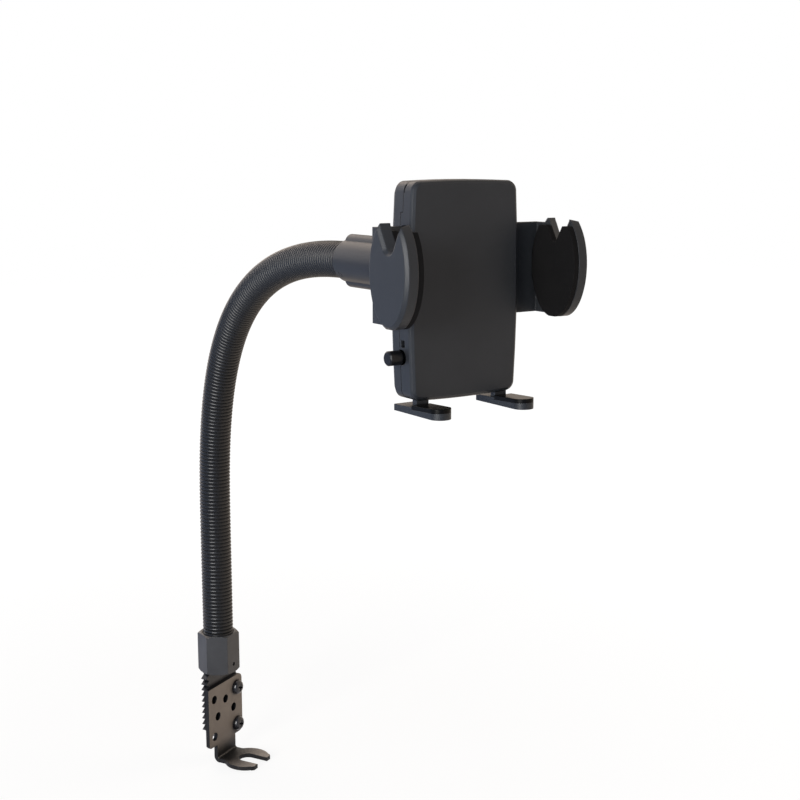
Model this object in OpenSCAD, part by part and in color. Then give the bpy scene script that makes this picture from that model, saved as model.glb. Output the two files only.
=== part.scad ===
// Seat rail phone mount: a slotted bracket for a seat bolt, a ridged gooseneck and a spring holder.
// Sizes in millimetres. The origin is the centre of the bolt slot, on the underside of the fork.
// Z is up. The phone faces -Y, and the bracket is turned about Z from the holder.

/* [Bracket] */
// Thickness of the folded steel plate
plate_t = 2.4; // [2:0.1:3]
// Width of the upright plate
plate_w = 34.6; // [33:0.2:40]
// Height of the wide part of the upright plate
plate_h = 36.5; // [35:0.5:42]
// Width of the slot that takes the seat bolt
slot_w = 10; // [8:0.5:11]
// Radius of the round part of the fork
fork_r = 13; // [12:0.5:15]
// Length of the prongs from the slot's round end
prong_l = 10.6; // [9:0.2:14]
// Turn of the bracket from the holder, in degrees
bracket_turn = 29; // [0:1:45]
// Spacing of the square hole pattern in the plate
hole_step = 23; // [22:0.5:24]
// Diameter of the holes in the plate
hole_d = 5; // [4.6:0.1:5.4]
// Diameter of the screw heads on the plate
screw_head_d = 8.5; // [8:0.5:10]

/* [Neck base] */
// Width of the hexagon across its flats
hex_w = 21; // [20.6:0.2:24]
// Height of the hexagon
hex_h = 23.5; // [20:0.5:28]
// Thickness of the flat tongue behind the plate
tongue_t = 3.8; // [3:0.2:5]
// Depth of the teeth on the edge of the tongue
tooth_depth = 2.8; // [2:0.2:3.4]
// Number of teeth on the edge of the tongue
tooth_count = 10; // [6:1:11]

/* [Neck] */
// Outer diameter over the ridges
neck_d = 17.6; // [16:0.2:18]
// Distance from one ridge to the next
ridge_step = 2.1; // [2:0.1:3.2]
// Depth of the grooves between the ridges
ridge_depth = 0.8; // [0.4:0.1:1.2]
// Length of the straight stem from its seat in the hexagon
stem_len = 79; // [60:1:100]
// Length over which the bend tightens
bend_in_len = 135; // [110:1:160]
// Length over which the bend opens out again
bend_out_len = 129; // [110:1:160]

/* [Swivel] */
// Outer diameter of the collar that holds the neck's end
collar_d = 20.4; // [19.8:0.2:22]
// Height of the collar over its two ribs
rib_h = 24.8; // [23:0.2:28]
// Diameter of the ball
ball_d = 16; // [14:0.5:17]
// Outer diameter of the clamp ring
ring_d = 27; // [26:0.5:30]

/* [Holder] */
// Width of the housing
housing_w = 56; // [55:0.2:57]
// Height of the housing
housing_h = 90.6; // [88:0.2:96]
// Opening between the pads of the jaws
jaw_opening = 76; // [74:0.5:82]
// Thickness of a jaw's cheek
cheek_t = 5.6; // [4.6:0.2:7]
// Thickness of the rubber pads in the jaws
pad_t = 2.5; // [2:0.1:3]
// Width of a jaw's edge from front to back
jaw_w = 27.8; // [26:0.2:29]
// Height of the ellipse that a jaw's edge follows
jaw_h = 44.6; // [43:0.2:46]
// Depth of the notch in the top of a jaw
notch_depth = 10.8; // [8:0.2:14]
// Diameter of the release button
button_d = 6.2; // [5.4:0.2:7]
// Width of a foot's bar
foot_w = 9.4; // [8.4:0.2:10]
// Thickness of the rubber pads on the feet
foot_pad_t = 1.8; // [1.2:0.2:2.4]

/* [Hidden] */
$fn = 64;
eps = 0.01;
// Half the length of a cut that goes right through
far = 150;
steel = [0.16, 0.16, 0.15];
plastic = [0.22, 0.22, 0.23];
rubber = [0.09, 0.09, 0.1];
bright = [0.6, 0.6, 0.58];

// Bracket: x runs along the plate, y runs from its front to its back, from the slot's centre
plate_front = 14.6;
plate_back = plate_front + plate_t;
bend_r = plate_t + 1.1;
crease_z = 2.4;
wide_low = 10.9;
plate_top = wide_low + plate_h;
neck_half = 9.4;
root_half = 9.2;
prong_w = 4.7;
hole_z = 28.4;
hole_half = hole_step / 2;
inner_half = 8.15;
corner_r = 3.5;

// Neck base: the neck's axis stands off the slot's centre along the plate and behind it
axis_x = -3;
axis_y = plate_back - 0.4;
neck_x = axis_x * cos(bracket_turn) - axis_y * sin(bracket_turn);
neck_y = axis_x * sin(bracket_turn) + axis_y * cos(bracket_turn);
hex_low = 55.9;
hex_top = hex_low + hex_h;
neck_fit = 0.3;
neck_seat = hex_low + 3.1;
tongue_front = plate_back - axis_y;
tongue_back = tongue_front + tongue_t;
tongue_left = -12.6;
tongue_right = 18;
tongue_low = 11.9;
tooth_top = hex_low - 0.6;
tooth_step = 3.5;
set_z = hex_low + 4.9;
set_d = 2.2;

// Neck: the bend's curvature rises evenly to its peak and falls evenly to what is left at the end
bend_left = 0.0023;
bend_peak = (3.14159265 - bend_left * bend_out_len) / (bend_in_len + bend_out_len);
path_steps = 264;
bend_len = bend_in_len + bend_out_len;
deg = 57.2957795;
function bend_angle(s) = deg * (s < 0 ? 0 : s < bend_in_len
    ? bend_peak * s * s / 2 / bend_in_len
    : bend_peak * bend_in_len / 2 + bend_peak * (s - bend_in_len)
        - (bend_peak - bend_left) * pow(s - bend_in_len, 2) / 2 / bend_out_len);
step_len = bend_len / path_steps;
bend_path = [for (i = 0, y = 0, z = 0; i <= path_steps;
    y = y - step_len * sin(bend_angle((i + 0.5) * step_len)),
    z = z + step_len * cos(bend_angle((i + 0.5) * step_len)), i = i + 1) [y, z]];
bend_end = bend_path[path_steps];
bend_start_z = neck_seat + stem_len;

// Swivel head: its axis runs along Y, and distances are taken back from the phone's face
head_z = bend_start_z + bend_end[1];
mouth_y = 105.4;
straight_run = 1.2;
phone_y = neck_y + bend_end[0] - mouth_y - straight_run;
phone_z = head_z + 22.5;
collar_depth = 13;
neck_end_y = mouth_y - collar_depth;
collar_front = 72;
rib_r = 4;
rib_end = 0.8;
mark_y = 101.5;
mark_turn = -35;
mark_r = 1.3;
mark_deep = 0.3;
barrel_r = 11;
barrel_front = 55.5;
ball_y = 61;
ball_fit = 0.05;
thread_fit = 0.05;
lip_r = 8;
stem_r = 4;
ring_back = 70;
ring_front = 54;

// Holder: x from the middle, y from the phone's face, z from the phone's middle
front_y = 15.3;
back_y = 30.9;
part_y = 23.4;
part_top_y = 21.8;
part_step_z = 3;
wall_t = 2;
groove_w = 0.35;
groove_deep = 0.5;
housing_z = -29;
housing_low = housing_z - housing_h / 2;
housing_r = 4.5;
arm_y = 19.1;
arm_t = 2.8;
arm_high = -2.1;
arm_low = -40.7;
arm_z = (arm_high + arm_low) / 2;
slide_fit = 0.2;
pad_x = jaw_opening / 2;
cheek_x = pad_x + pad_t;
side_x = cheek_x + 1.5;
bevel = 1.3;
rim_in = 1.35;
lining_in = 0.1;
flare_in = -1.2;
flare_out = 0.2;
jaw_y = 5.2;
jaw_z = -19.5;
jaw_top = -0.2;
jaw_low = -41.5;
notch_y = 4.6;
notch_half = 7.2;
notch_r = 3;
tooth_n = 12;
module_size = 1;
pitch_r = tooth_n * module_size / 2;
bar_end = 9;
plate_end = 27.7;
pin_r = 2;
pin_fit = 0.02;
turn_fit = 0.05;
pawl_pin_r = 1.5;
pin_in = front_y + 1;
long_pin_out = back_y - 3;
short_pin_out = back_y - 4.2;
shell_screw_r = 1.18;
shell_screw_hole = 1.2;
shell_head_r = 2.5;
shell_head_y = back_y - 3;
button_y = 22.7;
button_z = -56;
button_end = 34.5;
button_in = 28.6;
rod_r = 2;
rod_end = 6;
saddle_x = 11.5;
saddle_t = 2.4;
flange_x = 17.1;
flange_t = 0.8;
spring_wire = 0.5;
button_fit = 0.2;
pawl_x = 8;
pawl_z = -48;
foot_x = 21.5;
foot_low = housing_low - 5;
foot_tip = -1;
foot_back = 30;
foot_stem_x = 20.4;
foot_stem_w = 6;
foot_stem_t = 3;
foot_stem_y = 17.4;
foot_step_y = foot_stem_y - 0.2;
foot_stem_top = housing_low + 29.3;
foot_room = 1;
tab_x = 7;
tab_neck = 4;
tab_head = 7;
tab_h = 20;
tab_z = -22.5;
tab_fit = 0.15;

module at_bracket() {
    rotate([0, 0, bracket_turn]) children();
}

module at_base() {
    at_bracket() translate([axis_x, axis_y, 0]) children();
}

module at_holder() {
    translate([neck_x, phone_y, phone_z]) children();
}

module at_head() {
    translate([neck_x, phone_y, head_z]) children();
}

// A round bar along Y from one distance to another
module y_bar(r, from, to) {
    translate([0, to, 0]) rotate([90, 0, 0]) cylinder(r = r, h = to - from);
}

// A flat shape drawn in x and z, given its depth along Y
module y_plate(from, to) {
    translate([0, to, 0]) rotate([90, 0, 0]) linear_extrude(to - from) children();
}

// A flat shape drawn in y and z, given its depth along X
module x_plate(from, to) {
    translate([from, 0, 0]) rotate([90, 0, 90]) linear_extrude(to - from) children();
}

function arc(x, y, r, a0, a1, n) = [for (i = [0:n]) let (a = a0 + (a1 - a0) * i / n)
    [x + r * cos(a), y + r * sin(a)]];

// Upright plate, with its corners rounded as pressed
module plate_face() {
    half = plate_w / 2;
    polygon(concat(
        [[-half, wide_low + 1.5], [-half + 1.5, wide_low], [-neck_half, wide_low]],
        [[-neck_half, crease_z + 1], [neck_half, crease_z + 1], [neck_half, wide_low]],
        arc(half - corner_r, wide_low + corner_r, corner_r, -90, 0, 6),
        arc(half - corner_r, plate_top - corner_r, corner_r, 0, 90, 6),
        arc(-half + 1, plate_top - 1, 1, 90, 180, 3)));
}

module fork_face() {
    fillet_r = 3;
    fillet_x = root_half + fillet_r;
    fillet_y = sqrt(pow(fork_r + fillet_r, 2) - fillet_x * fillet_x);
    reach = fork_r / (fork_r + fillet_r);
    intersection() {
        circle(r = fork_r);
        translate([-fork_r, -prong_l]) square([2 * fork_r, prong_l + fork_r]);
    }
    translate([-root_half, 0]) square([2 * root_half, plate_back - bend_r]);
    for (side = [-1, 1]) {
        difference() {
            polygon([[side * (root_half - 1), fillet_y], [side * fillet_x, fillet_y],
                [side * fillet_x * reach, fillet_y * reach], [side * (root_half - 1), 6]]);
            translate([side * fillet_x, fillet_y]) circle(r = fillet_r);
        }
        prong_in = slot_w / 2;
        prong_out = prong_in + prong_w;
        polygon([[side * (prong_in - 1), 0], [side * (prong_in - 1), -prong_l],
            [side * (prong_out - 1.2), -prong_l], [side * prong_out, 1.2 - prong_l],
            [side * prong_out, 0]]);
    }
}

module seat_bracket() {
    color(steel) at_bracket() difference() {
        union() {
            y_plate(plate_front, plate_back) plate_face();
            linear_extrude(plate_t) fork_face();
            difference() {
                translate([-neck_half, plate_back - bend_r, bend_r]) rotate([0, 90, 0])
                    cylinder(r = bend_r, h = 2 * neck_half);
                translate([-neck_half - 1, plate_back - bend_r, bend_r]) rotate([0, 90, 0])
                    cylinder(r = bend_r - plate_t, h = 2 * neck_half + 2);
                translate([-20, plate_back - bend_r - 10, -1]) cube([40, 10, 20]);
                translate([-20, plate_back - bend_r - 1, bend_r]) cube([40, 10, 20]);
            }
        }
        translate([0, 0, -1]) cylinder(d = slot_w, h = plate_t + 2);
        translate([-slot_w / 2, -prong_l - 4, -1]) cube([slot_w, prong_l + 4, plate_t + 2]);
        for (x = [-hole_half, hole_half], z = [-hole_half, hole_half]) {
            translate([x, 0, hole_z + z]) y_bar(hole_d / 2, plate_front - 1, plate_back + 1);
        }
        for (p = [[-inner_half, 0], [inner_half, 0], [0, inner_half]]) {
            translate([p[0], 0, hole_z + p[1]])
                y_bar(hole_d / 2, plate_front - 1, plate_back + 1);
        }
    }
}

// One pan head screw along Y, its head's underside at y = 0 and its shank behind
module pan_screw(head_d, head_h, shank_d, shank_l, recess) {
    difference() {
        union() {
            rotate([90, 0, 0]) rotate_extrude() polygon(concat([[0, 0], [head_d / 2, 0]],
                [for (a = [0:15:90]) [head_d / 2 - 0.32 * head_h * (1 - cos(a)) * 2.2,
                    head_h * 0.3 + head_h * 0.7 * sin(a)]],
                [[0, head_h]]));
            y_bar(shank_d / 2, -0.5, shank_l - 0.6);
            translate([0, shank_l, 0]) rotate([90, 0, 0])
                cylinder(d1 = shank_d - 1.2, d2 = shank_d, h = 0.6);
        }
        for (turn = [20, 110]) {
            rotate([0, turn, 0]) translate([-recess / 2, -head_h - 1, -recess / 8])
                cube([recess, 1 + head_h * 0.6, recess / 4]);
        }
    }
}

module bracket_screws() {
    shank_l = plate_t + tongue_t + 1.4;
    color(steel) at_bracket() for (z = [-hole_half, hole_half]) {
        translate([hole_half, plate_front, hole_z + z])
            pan_screw(screw_head_d, 3.2, hole_d - 0.2, shank_l, 4.6);
    }
}

// Tongue outline: V teeth down its left edge, and a corner cut off that leaves one hole open
module tongue_face() {
    cut_z = 21;
    teeth_low = tooth_top - tooth_count * tooth_step;
    polygon(concat(
        [[tongue_left + tooth_depth, hex_low + 1], [tongue_left + tooth_depth, tooth_top]],
        [for (i = [0:tooth_count - 1], k = [0, 1]) k == 0
            ? [tongue_left, tooth_top - (i + 0.55) * tooth_step]
            : [tongue_left + tooth_depth, tooth_top - (i + 1) * tooth_step]],
        [[tongue_left + tooth_depth, min(cut_z + 4, teeth_low)],
            [-hole_half + 8.5 + 3, tongue_low], [tongue_right, tongue_low],
            [tongue_right, hex_low - 8], [hex_w / 2 + 0.8, hex_low + 1]]));
}

module hex_outline(w) {
    polygon([for (i = [0:5]) w / 2 / cos(30) * [cos(60 * i), sin(60 * i)]]);
}

module neck_base() {
    hex_r = hex_w / 2 / cos(30);
    color(steel) at_base() difference() {
        union() {
            intersection() {
                translate([0, 0, hex_low]) linear_extrude(hex_h) hex_outline(hex_w);
                translate([0, 0, hex_low]) union() {
                    cylinder(r1 = hex_w / 2 + 0.4, r2 = hex_r + 0.1, h = 1);
                    translate([0, 0, 1]) cylinder(r = hex_r + 0.1, h = hex_h - 2);
                    translate([0, 0, hex_h - 1]) cylinder(r1 = hex_r + 0.1, r2 = hex_w / 2 - 0.2,
                        h = 1);
                }
            }
            y_plate(tongue_front, tongue_back) tongue_face();
        }
        translate([0, 0, neck_seat]) cylinder(d = neck_d + 2 * neck_fit, h = hex_h);
        translate([-axis_x + hole_half, 0, hole_z]) for (z = [-hole_half, hole_half])
            translate([0, 0, z]) y_bar(hole_d / 2 - 0.05, tongue_front - 1, tongue_back + 1);
        translate([0, 0, set_z]) y_bar(set_d / 2 + 0.05, -hex_w, 0);
    }
}

module set_screw() {
    tip = neck_d / 2 - ridge_depth;
    color(steel) at_base() translate([0, 0, set_z]) difference() {
        y_bar(set_d / 2, 0.7 - hex_w / 2, -tip - 0.02);
        translate([0, -hex_w / 2, 0]) y_plate(-2, 1.6) circle(d = 1.1);
    }
}

// The ridges stop short of both ends, where the arm is plain to fit its seats
module neck() {
    sides = 14;
    r_out = neck_d / 2;
    r_in = r_out - ridge_depth;
    total = stem_len + bend_len + (bend_end[0] + neck_y - phone_y - neck_end_y);
    first = hex_top - neck_seat - 4;
    last = total - collar_depth + 2;
    count = floor((last - first) / ridge_step);
    function place(s) = let (b = s - stem_len) b <= 0 ? [0, neck_seat + s, 0]
        : b >= bend_len ? [bend_end[0] - (b - bend_len), bend_start_z + bend_end[1], 90]
        : let (i = floor(b / step_len), f = b / step_len - i, p = bend_path[i],
            q = bend_path[min(i + 1, path_steps)])
            [p[0] + (q[0] - p[0]) * f, bend_start_z + p[1] + (q[1] - p[1]) * f, bend_angle(b)];
    function ring(s, r) = let (p = place(s)) [for (k = [0:sides - 1])
        let (a = 360 * (k + 0.5) / sides, across = r * sin(a), out = r * cos(a))
            [neck_x + across, neck_y + p[0] + out * cos(p[2]), p[1] + out * sin(p[2])]];
    marks = concat([[0, r_in]],
        [for (i = [0:count - 1], k = [0, 1]) [first + (i + k / 2) * ridge_step, k ? r_out : r_in]],
        [[first + count * ridge_step, r_in], [total, r_in]]);
    rings = [for (m = marks) ring(m[0], m[1])];
    n = len(rings);
    points = [for (r = rings) each r];
    walls = [for (i = [0:n - 2], k = [0:sides - 1]) let (a = i * sides + k,
        b = i * sides + (k + 1) % sides) each [[a, a + sides, b], [b, a + sides, b + sides]]];
    ends = [[for (k = [0:sides - 1]) k], [for (k = [sides - 1:-1:0]) (n - 1) * sides + k]];
    color(rubber) polyhedron(points = points, faces = concat(walls, ends));
}

module head_socket() {
    rib_z = rib_h / 2 - rib_r;
    color(plastic) at_head() difference() {
        union() {
            y_bar(collar_d / 2, collar_front, mouth_y);
            for (side = [-1, 1]) {
                translate([0, 0, side * rib_z]) {
                    y_bar(rib_r, collar_front, mouth_y - rib_end);
                    translate([0, mouth_y, 0]) rotate([90, 0, 0])
                        cylinder(r1 = rib_r - rib_end, r2 = rib_r, h = rib_end);
                }
            }
            y_bar(barrel_r, barrel_front, collar_front + 1);
        }
        y_bar(neck_d / 2 + 0.1, neck_end_y, mouth_y + 1);
        translate([0, ball_y, 0]) sphere(d = ball_d + 2 * ball_fit);
        translate([0, ball_y - 3, 0]) rotate([90, 0, 0])
            cylinder(r1 = 5, r2 = lip_r, h = ball_y - 3 - barrel_front + eps);
        for (turn = [45, 135]) {
            rotate([0, turn, 0]) translate([-15, barrel_front - 1, -0.6])
                cube([30, ball_y - barrel_front + 3, 1.2]);
        }
        // Shallow round mark of the mould, low on the left near the mouth
        rotate([0, mark_turn, 0]) translate([-collar_d / 2 - 1, mark_y, 0]) rotate([0, 90, 0])
            difference() {
                cylinder(r = mark_r, h = 1 + mark_deep);
                cylinder(r = mark_r - 0.4, h = 1 + mark_deep);
            }
    }
}

module clamp_ring() {
    grips = 18;
    color(plastic) at_head() difference() {
        union() {
            y_bar(ring_d / 2, ring_front + 1, ring_back - 1);
            translate([0, ring_front + 1, 0]) rotate([90, 0, 0])
                cylinder(d1 = ring_d, d2 = ring_d - 2, h = 1);
            translate([0, ring_back, 0]) rotate([90, 0, 0])
                cylinder(d1 = ring_d - 2, d2 = ring_d, h = 1);
        }
        y_bar(barrel_r + thread_fit, barrel_front - 0.1, ring_back + 1);
        y_bar(lip_r, ring_front - 1, barrel_front);
        for (i = [0:grips - 1]) {
            rotate([0, i * 360 / grips, 0]) translate([ring_d / 2 + 0.4, 0, 0])
                y_bar(1.3, ring_front - 1, ring_back + 1);
        }
    }
}

module ball_stud() {
    color(bright) at_head() union() {
        translate([0, ball_y, 0]) sphere(d = ball_d);
        y_bar(stem_r, back_y + 1.4, ball_y - 2);
        y_bar(stem_r + 2.5, back_y + 8, back_y + 9.5);
    }
}

// One T shaped tab or its slot, drawn in x and y and standing along Z
module tab_outline(spare) {
    translate([-tab_neck / 2 - spare, back_y - 2 - spare]) square([tab_neck + 2 * spare, 4]);
    translate([-tab_head / 2 - spare, back_y - 3.8 - spare])
        square([tab_head + 2 * spare, 1.8 + 2 * spare]);
}

module tab_plate() {
    color(plastic) at_holder() translate([0, 0, tab_z]) difference() {
        union() {
            y_plate(back_y, back_y + 4.2) polygon(concat(
                arc(10, 12, 3, 0, 90, 6), arc(-10, 12, 3, 90, 180, 6),
                arc(-10, -12, 3, 180, 270, 6), arc(10, -12, 3, 270, 360, 6)));
            y_bar(8, back_y, back_y + 7.8);
            for (x = [-tab_x, tab_x]) {
                translate([x, 0, -tab_h / 2]) linear_extrude(tab_h) tab_outline(0);
            }
        }
        y_bar(stem_r + 0.05, back_y + 1.35, back_y + 9);
    }
}

// Front view of the housing, drawn in x and z: bowed sides and round corners, inset by a distance
function bow(x, half, rise) = rise * (1 - pow(x / half, 2));
function housing_points(inset, rise) = let (w = housing_w / 2 - inset,
    h = housing_h / 2 - inset - rise,
    r = max(housing_r - inset, 2), dw = 1.2, dh = 0.5, cx = w - dw - r, cz = h - dh - r)
    concat(
        [for (i = [0:5]) let (z = -cz + 2 * cz * i / 6) if (i > 0) [w - dw + bow(z, cz, dw), z]],
        arc(cx, cz, r, 0, 90, 8),
        [for (i = [1:5]) let (x = cx - 2 * cx * i / 6) [x, h - dh + bow(x, cx, dh)]],
        arc(-cx, cz, r, 90, 180, 8),
        [for (i = [1:5]) let (z = cz - 2 * cz * i / 6) [-w + dw - bow(z, cz, dw), z]],
        arc(-cx, -cz, r, 180, 270, 8),
        [for (i = [1:5]) let (x = -cx + 2 * cx * i / 6) [x, -h + dh - bow(x, cx, dh)]],
        arc(cx, -cz, r, 270, 360, 8));

module housing_slice(y, inset, rise) {
    translate([0, 0, housing_z]) y_plate(y - eps, y) polygon(housing_points(inset, rise));
}

// Whole outside of the housing, a little barrelled, with a flat bevel round its front
module housing_body() {
    hull() {
        housing_slice(front_y + eps, 1.6, 0);
        housing_slice(front_y + 0.7, 0.5, 0);
        housing_slice(front_y + 1.8, 0, 0);
        housing_slice(back_y - 2.7, 0, 0);
        housing_slice(back_y - 1.7, 0.2, 1.2);
        housing_slice(back_y - 1, 0.5, 8);
        housing_slice(back_y - 0.4, 1, 20);
        housing_slice(back_y, 2.4, 30);
    }
}

module housing_hollow() {
    translate([0, 0, housing_z]) y_plate(front_y + wall_t, back_y - wall_t)
        polygon(housing_points(wall_t + 0.4, 1));
}

// Everything behind the parting, which steps forward above the arms
module behind_parting() {
    x_plate(-far, far) polygon([[part_y, -far], [part_y, part_step_z], [part_top_y, part_step_z],
        [part_top_y, far], [far, far], [far, -far]]);
}

// Fine groove round the outside, just behind the parting
module parting_groove() {
    difference() {
        x_plate(-far, far) polygon([[part_y - 1, -far], [part_y - 1, part_step_z],
            [part_top_y - 1, part_step_z], [part_top_y - 1, far],
            [part_top_y + groove_w, far], [part_top_y + groove_w, part_step_z + groove_w],
            [part_y + groove_w, part_step_z + groove_w], [part_y + groove_w, -far]]);
        translate([0, 0, housing_z]) y_plate(-far, far) polygon(housing_points(groove_deep, 0));
    }
}

module side_windows() {
    // The arms pass through both sides
    translate([-40, arm_y - slide_fit, arm_low - slide_fit])
        cube([80, arm_t + 2 * slide_fit, arm_high - arm_low + 2 * slide_fit]);
    // The button passes through the left side
    translate([-40, button_y, button_z]) rotate([0, 90, 0])
        cylinder(r = button_d / 2 + button_fit, h = 40 - 19);
    // The feet pass through the bottom
    for (x = [-foot_stem_x, foot_stem_x]) {
        translate([x - foot_stem_w / 2 - slide_fit, foot_stem_y - slide_fit, foot_low])
            cube([foot_stem_w + 2 * slide_fit, foot_stem_t + 2 * slide_fit,
                foot_stem_top + foot_room - foot_low]);
    }
}

module screw_spots() {
    for (x = [-19.5, 19.5]) {
        translate([x, 0, 8.5]) children();
        translate([x * 0.36, 0, -66]) children();
    }
}

module front_shell() {
    color(plastic) at_holder() difference() {
        union() {
            difference() {
                housing_body();
                housing_hollow();
            }
            intersection() {
                housing_body();
                union() {
                    // Rails that carry the arms, and the post of the pinion's pin
                    for (z = [arm_high - 3.5, arm_low + 3.5])
                        translate([-26, front_y + 1, z - 1.5])
                            cube([52, arm_y - slide_fit - front_y - 1, 3]);
                    for (z = [arm_high + slide_fit, arm_low - slide_fit - 1.5])
                        translate([-26, front_y + 1, z]) cube([52, part_y - front_y - 1, 1.5]);
                    translate([0, 0, arm_z]) y_bar(4, front_y + 1, arm_y - 0.1);
                    translate([pawl_x, 0, pawl_z]) y_bar(3, front_y + 1, arm_y - 0.1);
                    // Guides for the stems of the feet
                    for (x = [-foot_stem_x, foot_stem_x])
                        translate([x - 4.6, front_y + 1, housing_low + 0.3])
                            cube([9.2, foot_stem_y + foot_stem_t - front_y - 0.8, 16]);
                    // Saddle under the button's rod
                    translate([-saddle_x, front_y + 1, button_z - 3.2])
                        cube([saddle_t, part_y - front_y - 1, 6.4]);
                    screw_spots() y_bar(3, front_y + 1, 23);
                }
            }
        }
        behind_parting();
        side_windows();
        // Room for the arms' bars and for the pawl between the rails
        translate([0, 0, arm_z]) y_bar(pin_r + pin_fit, pin_in, back_y);
        translate([pawl_x, 0, pawl_z]) y_bar(pawl_pin_r + pin_fit, pin_in, back_y);
        translate([-20, button_y, button_z]) rotate([0, 90, 0]) cylinder(r = rod_r + 0.2, h = 12);
        translate([-6, arm_y - 0.2, arm_low - 5]) cube([24, 8, 6]);
        screw_spots() y_bar(shell_screw_hole, front_y + 2.2, back_y);
        // Small gap in the parting at the top left corner
        translate([-30, part_top_y - 0.8, 11]) cube([8, 2, 3.4]);
        // Shallow recess over the button
        translate([-30, part_y - 3.4, button_z + 4.2]) cube([4.4, 2.6, 3]);
    }
}

module rear_shell() {
    color(plastic) at_holder() difference() {
        union() {
            intersection() {
                difference() {
                    housing_body();
                    housing_hollow();
                }
                behind_parting();
            }
            intersection() {
                housing_body();
                behind_parting();
                union() {
                    // Thick wall round the slots of the tab plate
                    translate([-15, back_y - 5.4, tab_z - 16]) cube([30, 5.4, 32]);
                    // Rails behind the arms
                    for (z = [arm_high - 3.5, arm_low + 3.5])
                        translate([-26, part_y - 0.1, z - 1.5]) cube([52, 6, 3]);
                    translate([0, 0, arm_z]) y_bar(3.4, back_y - 5.6, back_y - 3);
                    translate([-saddle_x, part_y - 0.1, button_z - 3.2])
                        cube([saddle_t, 6, 6.4]);
                    translate([pawl_x, 0, pawl_z]) y_bar(3, part_y - 0.1, back_y - 1);
                    screw_spots() y_bar(3.4, part_y - 3, back_y - 1);
                }
            }
        }
        side_windows();
        for (x = [-tab_x, tab_x]) {
            translate([x, 0, tab_z - tab_h / 2 - tab_fit])
                linear_extrude(tab_h + 2 * tab_fit) tab_outline(tab_fit);
        }
        translate([0, 0, arm_z]) y_bar(pin_r + pin_fit, front_y, short_pin_out);
        translate([pawl_x, 0, pawl_z]) y_bar(pawl_pin_r + pin_fit, front_y, long_pin_out);
        translate([-20, button_y, button_z]) rotate([0, 90, 0]) cylinder(r = rod_r + 0.2, h = 12);
        screw_spots() {
            y_bar(shell_screw_r + 0.32, -far, far);
            y_bar(shell_head_r + 0.2, shell_head_y, far);
        }
        parting_groove();
    }
}

module shell_screws() {
    recess = 2.8;
    color(bright) at_holder() screw_spots() difference() {
        union() {
            y_bar(shell_screw_r, front_y + 2.6, shell_head_y + 0.1);
            y_bar(shell_head_r, shell_head_y, shell_head_y + 1.6);
        }
        for (turn = [0, 90]) {
            rotate([0, turn, 0]) translate([-recess / 2, shell_head_y + 0.8, -0.3])
                cube([recess, 2, 0.6]);
        }
    }
}

// Edge of a jaw in y and z: an ellipse cut flat at its top and bottom
function jaw_points(inset) = let (a = jaw_w / 2 - inset, b = jaw_h / 2 - inset,
    up = asin(min(0.98, (jaw_top - inset * 0.3 - jaw_z) / b)),
    down = asin(min(0.999, (jaw_z - jaw_low - inset * 0.3) / b)))
    [for (side = [0, 1], i = [0:44]) let (t = side ? 180 - up + (up + down) * i / 44
        : -down + (up + down) * i / 44) [jaw_y + a * cos(t), jaw_z + b * sin(t)]];

// Notch in y and z, a V with a round bottom, open upwards, grown by a distance
function notch_points(grow) = let (low = jaw_top - notch_depth + notch_r, r = notch_r + grow)
    concat([[notch_y + notch_half + grow + 1.2, 3], [notch_y - notch_half - grow - 1.2, 3],
        [notch_y - notch_half - grow, jaw_top - 1]],
        [for (i = [0:12]) let (a = 208 + 124 * i / 12) [notch_y + r * cos(a), low + r * sin(a)]],
        [[notch_y + notch_half + grow, jaw_top - 1]]);

// A solid through outlines in y and z, each at its own x and with the same number of points
module loft_x(places, outlines) {
    n = len(outlines[0]);
    last = len(places) - 1;
    points = [for (k = [0:last], p = outlines[k]) [places[k], p[0], p[1]]];
    walls = [for (k = [0:last - 1], i = [0:n - 1]) let (a = k * n + i, b = k * n + (i + 1) % n)
        each [[a + n, b + n, b], [a + n, b, a]]];
    ends = [[for (i = [0:n - 1]) i], [for (i = [n - 1:-1:0]) last * n + i]];
    polyhedron(points = points, faces = concat(walls, ends));
}

// Cheek of the right jaw, its outer edge bevelled all round and along the notch
module jaw_cheek() {
    out = cheek_x + cheek_t;
    difference() {
        loft_x([cheek_x, out - bevel, out], [jaw_points(0), jaw_points(0), jaw_points(rim_in)]);
        loft_x([cheek_x - 1, out - bevel, out + bevel], [notch_points(flare_in),
            notch_points(flare_out), notch_points(flare_out + 2 * rim_in)]);
    }
}

// Part of the arm outside the housing, the same on both sides
module arm_outside() {
    jaw_cheek();
    translate([cheek_x, 12, arm_low]) cube([side_x - cheek_x, arm_y + arm_t - 12,
        arm_high - arm_low]);
    translate([plate_end, arm_y, arm_low]) cube([side_x - plate_end, arm_t,
        arm_high - arm_low]);
}

// Straight rack teeth in x and z, pointing down from a pitch line at z = 0
module rack_teeth(first, last, shift) {
    step = 3.14159265 * module_size;
    for (i = [floor((first - shift) / step) + 1:floor((last - shift) / step)]) {
        x = shift + i * step;
        if (x - 1.1 > first && x + 1.1 < last)
            polygon([[x - 1.18, 1.4], [x - 0.72, 0], [x - 0.4, -0.9], [x + 0.4, -0.9],
                [x + 0.72, 0], [x + 1.18, 1.4]]);
    }
}

// Bar of the left arm, over the pinion, with its rack along the lower edge
module left_arm() {
    gap_line = arm_z + pitch_r;
    color(plastic) at_holder() {
        mirror([1, 0, 0]) arm_outside();
        translate([-plate_end - 1, arm_y, gap_line + 1.3])
            cube([plate_end + bar_end + 1, arm_t, arm_high - gap_line - 1.3 - 0.4]);
        translate([0, 0, gap_line]) y_plate(arm_y, arm_y + arm_t)
            rack_teeth(-plate_end, bar_end, 0);
    }
}

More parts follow.
